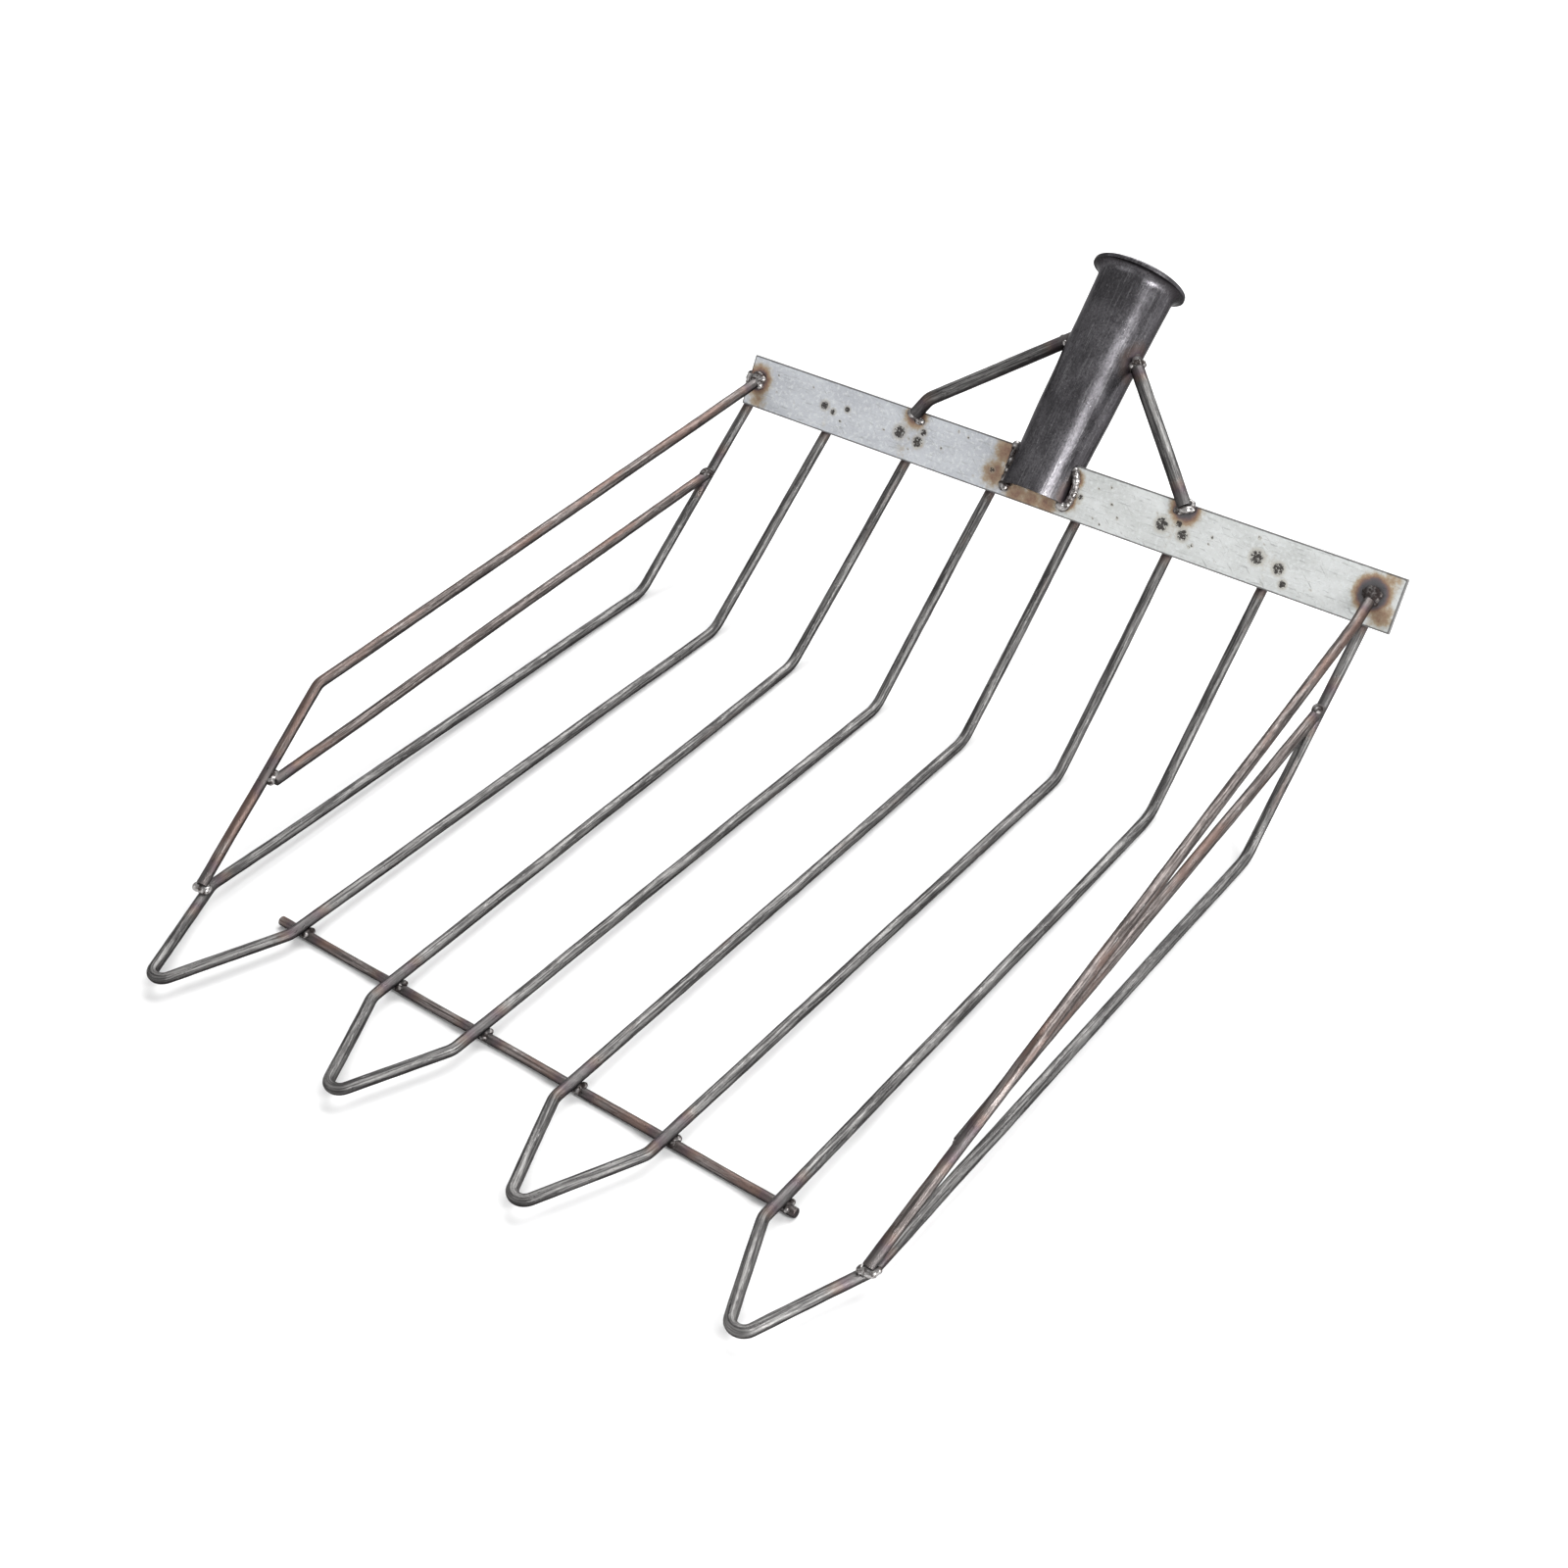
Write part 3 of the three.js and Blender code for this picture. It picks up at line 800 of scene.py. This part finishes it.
# ---------------------------------------------------------------- build: bars
def add_bars():
    steel = bar_material("bar_scale", *SCALED_BAR)
    browned = bar_material("bar_browned", *BROWNED_BAR)
    spots = hot_spots()

    def add_bar(node, line, radius, material, seed, cutters=()):
        mesh = bar_mesh(node, line, radius, spots, seed)
        if cutters:
            mesh = cut_mesh(mesh, cutters)
        add_piece(f"{node}_bar", mesh, material, node)

    for i, tip in enumerate(TIP_X):
        left, right = tine_points(2 * i), tine_points(2 * i + 1)
        corners = [*left, Vector((tip, TIP_Y, 0)), *reversed(right)]
        add_bar(f"tine_loop_{i + 1}", bar_line(corners, LOOP_BENDS), ROD_R, steel, i + 1)
    cross = bar_line([(x, CROSS_Y, CROSS_Z) for x in CROSS_ENDS])
    add_bar("cross_rod", cross, CROSS_R, browned, 5)
    for side, sign in SIDES.items():
        seed = 8 + sign
        rail = [on_plate(RAIL_START_X[side], RAIL_SEAT, -1), mirrored(RAIL_BEND, sign), LEG_FOOT[side]]
        bends = [RAIL_BEND_R]
        if side == "right":
            rail.insert(1, RIGHT_RAIL_KINK)
            bends.insert(0, RIGHT_RAIL_KINK_R)
        top_line = bar_line(rail, bends)
        add_bar(f"top_rail_{side}", top_line, ROD_R, browned, seed)
        mid_line = bar_line([mid_start(side), MID_END[side]])
        add_bar(f"mid_rail_{side}", mid_line, ROD_R, browned, seed + 4)
        foot = brace_foot(side)
        corners = [foot, on_socket(BRACE_REACH)]
        if side == "left":
            corners.insert(1, foot + Vector(LEFT_FOOT_KINK))
        brace_line = bar_line(corners, [KINK_R])
        add_bar(f"brace_{side}", brace_line, BRACE_R, steel, seed + 8, [socket_plug()])


# ---------------------------------------------------------------- build: socket
def socket_outline():
    """Radius and height up the outside, from below the foot to the start of the lip's rim."""
    lip_start = SOCKET_LENGTH - LIP_HEIGHT
    outline = []
    for k in range(TUBE_ROWS + 1):
        part = k / TUBE_ROWS
        radius = SOCKET_FOOT_R + (SOCKET_MOUTH_R - SOCKET_FOOT_R) * part
        outline.append((radius, -TUBE_BELOW + (lip_start + TUBE_BELOW) * part))
    for k in range(1, FLARE_ROWS + 1):
        turn = math.pi / 2 * k / FLARE_ROWS
        radius = SOCKET_MOUTH_R + (LIP_R - SOCKET_MOUTH_R) * (1 - math.cos(turn))
        outline.append((radius, lip_start + (LIP_HEIGHT - LIP_EDGE) * math.sin(turn)))
    return outline


def lathed(name, profile, sides, closed):
    """A turned body on the socket's axis. A profile that isn't closed gets a flat face at each end."""
    vertices, faces = [], []
    for radius, height in profile:
        for k in range(sides):
            turn = 2 * math.pi * k / sides
            vertices.append(on_socket(height, radius * math.sin(turn), radius * math.cos(turn)))
    rows = len(profile)
    for i in range(rows if closed else 0):
        for k in range(sides):
            a, b = i * sides + k, i * sides + (k + 1) % sides
            c, d = (i + 1) % rows * sides + (k + 1) % sides, (i + 1) % rows * sides + k
            faces.append((a, b, c, d))
    if not closed:
        faces = tube_faces(rows, sides)
    mesh = bpy.data.meshes.new(name)
    mesh.from_pydata([HEAD @ v for v in vertices], [], faces)
    return mesh


def socket_plug():
    """The room inside the socket's outside, slimmer by how far a brace's end goes into the wall."""
    profile = [(radius - PLUG_INSET, height) for radius, height in socket_outline()]
    return lathed("plug", profile, PLUG_SIDES, closed=False)


def block(corner_places):
    """A closed box from its eight corners, given lowest layer first."""
    mesh = bpy.data.meshes.new("block")
    faces = [(0, 3, 2, 1), (4, 5, 6, 7), (0, 1, 5, 4), (1, 2, 6, 5), (2, 3, 7, 6), (3, 0, 4, 7)]
    mesh.from_pydata([HEAD @ place for place in corner_places], [], faces)
    return mesh


def notch_block():
    """The plate's room and all behind it, up to its top edge."""
    top = PLATE_WIDTH + GAP
    back = -1.5 * CUT_REACH
    square = [(-CUT_REACH, back), (CUT_REACH, back), (CUT_REACH, GAP), (-CUT_REACH, GAP)]
    return block([on_plate(x, up, out) for up in (-CUT_REACH, top) for x, out in square])


def foot_block():
    """What the slightly skewed cut takes off the socket's lower end."""
    tilt = SOCKET_TILT + SOCKET_END_SKEW
    axis = Vector((0, math.cos(tilt), math.sin(tilt)))
    front = Vector((0, -math.sin(tilt), math.cos(tilt)))
    square = [(sx * CUT_REACH, sy * CUT_REACH) for sx, sy in ((-1, 1), (1, 1), (1, -1), (-1, -1))]
    middle = on_socket(0)
    return block([
        middle + axis * depth + ACROSS * x + front * out
        for depth in (-CUT_DEPTH, 0) for x, out in square
    ])


def add_socket():
    outer = socket_outline()
    mouth_inner = SOCKET_MOUTH_R - SOCKET_WALL
    rim = SOCKET_LENGTH - LIP_EDGE + LIP_ROUND
    lip = []
    for k in range(LIP_ROWS + 1):
        turn = math.pi / 2 * k / LIP_ROWS
        lip.append((LIP_R - LIP_ROUND * (1 - math.cos(turn)), rim + LIP_ROUND * math.sin(turn)))
    inner = [(mouth_inner + out, SOCKET_LENGTH - down) for out, down in MOUTH_EASE]
    for k in range(BORE_ROWS + 1):
        part = k / BORE_ROWS
        radius = mouth_inner + (SOCKET_FOOT_R - SOCKET_MOUTH_R) * part
        inner.append((radius, BORE_TOP + (-TUBE_BELOW - BORE_TOP) * part))
    mesh = lathed("pole_socket", [*outer, *lip, *inner], TUBE_SIDES, closed=True)
    mesh = cut_mesh(mesh, [notch_block(), foot_block()])
    to_head = HEAD.inverted()
    points = np.array([to_head @ v.co for v in mesh.vertices])
    straight = []
    for vertex, point in zip(mesh.vertices, points):
        y, z = point[1] - SOCKET_FOOT[0], point[2] - SOCKET_FOOT[1]
        height = y * math.cos(SOCKET_TILT) + z * math.sin(SOCKET_TILT)
        front = z * math.cos(SOCKET_TILT) - y * math.sin(SOCKET_TILT)
        straight.append((point[0], front, height))
        dent = noise.noise(Vector(point) / TUBE_DENT_LENGTH) * TUBE_DENT
        vertex.co += vertex.normal * dent * MM
    set_vectors(mesh, "straight", straight)
    set_floats(mesh, "scorch", scorch_at(points, hot_spots()) * TUBE_SCORCH)
    add_piece("pole_socket_tube", mesh, socket_material(), "pole_socket")


# ---------------------------------------------------------------- build: plate
def plate_section():
    """The flat bar's outline as (up, out), with slightly rounded edges."""
    edge = PLATE_EDGE_R
    outline = []
    corners = [(0, -PLATE_THICKNESS), (PLATE_WIDTH, -PLATE_THICKNESS), (PLATE_WIDTH, 0), (0, 0)]
    inward = [(1, 1), (-1, 1), (-1, -1), (1, -1)]
    for k, ((up, out), (u, o)) in enumerate(zip(corners, inward)):
        centre = (up + u * edge, out + o * edge)
        start = math.pi + k * math.pi / 2
        for j in range(4):
            turn = start + math.pi / 2 * j / 3
            outline.append((centre[0] + edge * math.cos(turn), centre[1] + edge * math.sin(turn)))
        after = corners[(k + 1) % 4]
        span = math.dist((up, out), after)
        count = max(1, round(span))
        for j in range(1, count):
            part = (edge + (span - 2 * edge) * j / count) / span
            on_edge = (up + (after[0] - up) * part, out + (after[1] - out) * part)
            outline.append(on_edge)
    return outline


def burnt_marks():
    """Where the hidden welds burnt through the zinc, and fine spatter: (x, up, radius)."""
    marks = list(BURNT_MARKS)
    for i in STRONG_MARK_TINES:
        marks += [(TINE_PLATE_X[i] - 6.5, 15, 3.8), (TINE_PLATE_X[i] + 7, 13, 3.2)]
    marks += [(TINE_PLATE_X[i] + beside, up, radius) for i, beside, up, radius in SIDE_MARKS]
    rng = random.Random(11)
    for _ in range(SPECK_COUNT):
        x = rng.choice([rng.uniform(30, 205), rng.uniform(-190, 30)])
        marks.append((x, rng.uniform(3, 27), rng.uniform(0.35, 0.8)))
    return marks


def add_plate():
    section = plate_section()
    left = PLATE_CENTRE_X - PLATE_LENGTH / 2
    count = round(PLATE_LENGTH / PLATE_STEP)
    stations = [left + PLATE_LENGTH * k / count for k in range(count + 1)]
    vertices, straight = [], []
    for x in stations:
        for up, out in section:
            spot = Vector((x / PLATE_WAVE_LENGTH[0], up / PLATE_WAVE_LENGTH[1], 3))
            vertices.append(on_plate(x, up, out + PLATE_WAVE * noise.noise(spot)))
            straight.append((x, up, out))
    straight = np.array(straight)
    front = straight[:, 2] > -0.5
    burn = np.zeros(len(vertices))
    rise = np.zeros(len(vertices))
    for x, up, radius in burnt_marks():
        away = np.hypot(straight[:, 0] - x, straight[:, 1] - up)
        mark = np.exp(-((away / radius) ** 2)) * front
        burn = np.maximum(burn, mark)
        rise += mark * MARK_RISE
    for vertex, lift in zip(vertices, rise):
        vertex += OUT_PLATE * lift
    mesh = bpy.data.meshes.new("back_plate")
    mesh.from_pydata([HEAD @ v for v in vertices], [], tube_faces(count + 1, len(section)))
    set_vectors(mesh, "straight", straight)
    set_floats(mesh, "scorch", plate_scorch(straight))
    set_floats(mesh, "burn", burn)
    set_floats(mesh, "rim", plate_rim(straight))
    add_piece("back_plate_bar", mesh, plate_material(), "back_plate")


def plate_rim(straight):
    """1 where the sheared edges turn over, falling to 0 within two millimetres."""
    x, up = straight[:, 0] - PLATE_CENTRE_X, straight[:, 1]
    nearest = np.minimum(np.minimum(up, PLATE_WIDTH - up), PLATE_LENGTH / 2 - np.abs(x))
    return np.exp(-((nearest / 0.9) ** 2))


def plate_scorch(straight):
    """Halos in the zinc: strong round the front welds, faint over the hidden ones."""
    x, up, out = straight.T
    front = out > -PLATE_THICKNESS / 2
    halos = list(HALOS)
    for sign in (-1, 1):
        halos.append((sign * BRACE_FOOT_X, 27, 8.5, 0.95 + 0.2 * sign))
        halos += [(sign * (SOCKET_FOOT_R + 1), height, 6.5, 0.75) for height in (10, 22)]
    scorch = np.zeros(len(straight))
    for centre, height, reach, strength in halos:
        away = np.hypot(x - centre, up - height)
        scorch = np.maximum(scorch, strength * np.exp(-((away / reach) ** 2)) * front)
    for tine in TINE_PLATE_X:
        beside = np.exp(-(((x - tine) / 3.2) ** 2)) * (up < WELDED_LENGTH + 4)
        scorch = np.maximum(scorch, beside * np.where(front, 0.2, 0.9))
    return scorch


# ---------------------------------------------------------------- build: welds
def add_welds():
    metal = weld_material()

    def add_weld(node, drops, seed, soot=0.3):
        add_piece(f"{node}_bead", bead_mesh(node, drops, seed, soot), metal, node)

    for i, x in enumerate(TINE_PLATE_X):
        add_weld(f"tine_weld_{i + 1}", tine_drops(x), 20 + i)
    for i in range(1, 7):
        add_weld(f"cross_weld_{i + 1}", heap(cross_point(i), CROSS_DROPS), 40 + i, 0.62)
    for side, sign in SIDES.items():
        seed = 60 + sign
        add_weld(f"rail_weld_{side}", rail_drops(side), seed, RAIL_SOOT[side])
        add_weld(f"leg_weld_{side}", leg_drops(side, sign), seed + 4)
        add_weld(f"mid_back_weld_{side}", mid_back_drops(side, sign), seed + 8, 0.66)
        add_weld(f"mid_front_weld_{side}", mid_front_drops(side, sign), seed + 12, 0.5)
    add_weld("socket_weld_left", socket_left_drops(), 80, 0.55)
    add_weld("socket_weld_right", socket_right_drops(), 81)
    for side, sign in SIDES.items():
        add_weld(f"brace_foot_weld_{side}", brace_foot_drops(sign), 90 + sign, 0.42)
        add_weld(f"brace_top_weld_{side}", brace_top_drops(side), 94 + sign, 0.5)


def tine_drops(x):
    """Two rows behind the plate, one on each side of the tine's end, and a drop that closes them."""
    out = -PLATE_THICKNESS - 1
    drops = []
    for shift in (-3.4, 3.4):
        drops += row_of_drops(on_plate(x + shift, 10, out), on_plate(x + shift, 18, out), 4, 2.3)
    drops.append((on_plate(x, 18.5, out - 0.4), (2.6, 2.6, 2.6)))
    return drops


def leg_drops(side, sign):
    """A heap where the rail's leg stands on the outer tine."""
    return heap(Vector(LEG_FOOT[side]), [
        ((0, 1, -2.6), (3.4, 4.2, 3.0)),
        ((2.4, 0.6, -2.4), (2.4, 3.2, 2.4)),
        ((-2.8, -1, -2.2), (2.6, 2.8, 2.4)),
        ((sign * 3.6, 2, -1), (1.8, 2, 1.8)),
    ])


def mid_back_drops(side, sign):
    """A small heap where the mid rail leaves the outer tine's riser."""
    return heap(mid_start(side), [
        ((0, -5, 1.6), (2.7, 4.2, 2.4)),
        ((-sign * 2, -3, 0.6), (1.9, 3.4, 2.2)),
    ])


def mid_front_drops(side, sign):
    """A heap where the mid rail meets the leg's inner side."""
    return heap(Vector(MID_END[side]), [
        ((sign * 2.2, 1, 2.2), (3.2, 4, 3)),
        ((sign * 0.8, -1.8, 1.2), (2.8, 2.4, 2.6)),
        ((sign * 3.4, -1, 3.4), (2.2, 2.8, 2.2)),
    ])


def brace_foot_drops(sign):
    """A heap over the plate's top edge, round the brace's foot."""
    x = sign * BRACE_FOOT_X
    return heap_on_plate([
        ((x, 27, 1.6), (4.6, 3.2, 2.6)),
        ((x - sign * 3.5, 24.5, 1.0), (3.4, 2.8, 2.0)),
        ((x + sign * 3, 28, 0.8), (3, 2.6, 2.2)),
        ((x, 30.4, -0.6), (4.4, 2.4, 2.2)),
    ])


def brace_top_drops(side):
    """A ring round the brace, where it meets the socket."""
    top = brace_top(side)
    run = (top - brace_foot(side)).normalized()
    first = run.cross(Vector((0, 0, 1))).normalized()
    return ring_of_drops(top - run * 0.8, first, run.cross(first), 3.7, 9, 1.9)


def rail_drops(side):
    """A low, uneven pool round the rail's end, heaped up above it."""
    x = RAIL_START_X[side]
    return heap_on_plate([
        ((x, RAIL_SEAT, 0.2), (5.6, 4.6, 3.6)),
        ((x + 3.2, RAIL_SEAT + 1.6, 0.8), (2.8, 2.4, 2.2)),
        ((x - 3.6, RAIL_SEAT + 1.2, 0.4), (2.6, 2.2, 1.9)),
        ((x, RAIL_SEAT + 3.6, 1.2), (3.4, 2.0, 1.9)),
        ((x + 2.6, RAIL_SEAT - 3.4, 0.5), (2.4, 2.2, 1.8)),
    ])


def socket_left_drops():
    """A broad, ropy fillet down the socket's left side."""
    drops = []
    for up in np.linspace(5, 30, 11):
        drops.append((on_plate(-SOCKET_FOOT_R - 1.2, up, 1.0), (2.7, 2.6, 2.3)))
    for up in np.linspace(7, 25, 6):
        drops.append((on_plate(-SOCKET_FOOT_R - 3.8 + 0.12 * up, up, 0.5), (2.2, 2.4, 1.5)))
    return drops


def socket_right_drops():
    """A fat C-shaped bead that wraps from the plate's top edge round the socket's right foot."""
    drops = []
    for turn in np.radians(np.linspace(-62, 62, 13)):
        x = SOCKET_FOOT_R - 3 + 6.2 * math.cos(turn)
        up = 16 + 12.5 * math.sin(turn)
        drops.append((on_plate(x, up, 1.0), (2.5, 2.3, 2.2)))
    drops.append((on_plate(SOCKET_FOOT_R - 1.5, 6, 2.0), (2.8, 2.2, 2.6)))
    return drops


noise.seed_set(BAR_WAVE_SEED)  # without it, noise_vector gives other waves on each run
make_camera()
make_light()
make_floor()
add_bars()
add_socket()
add_plate()
add_welds()
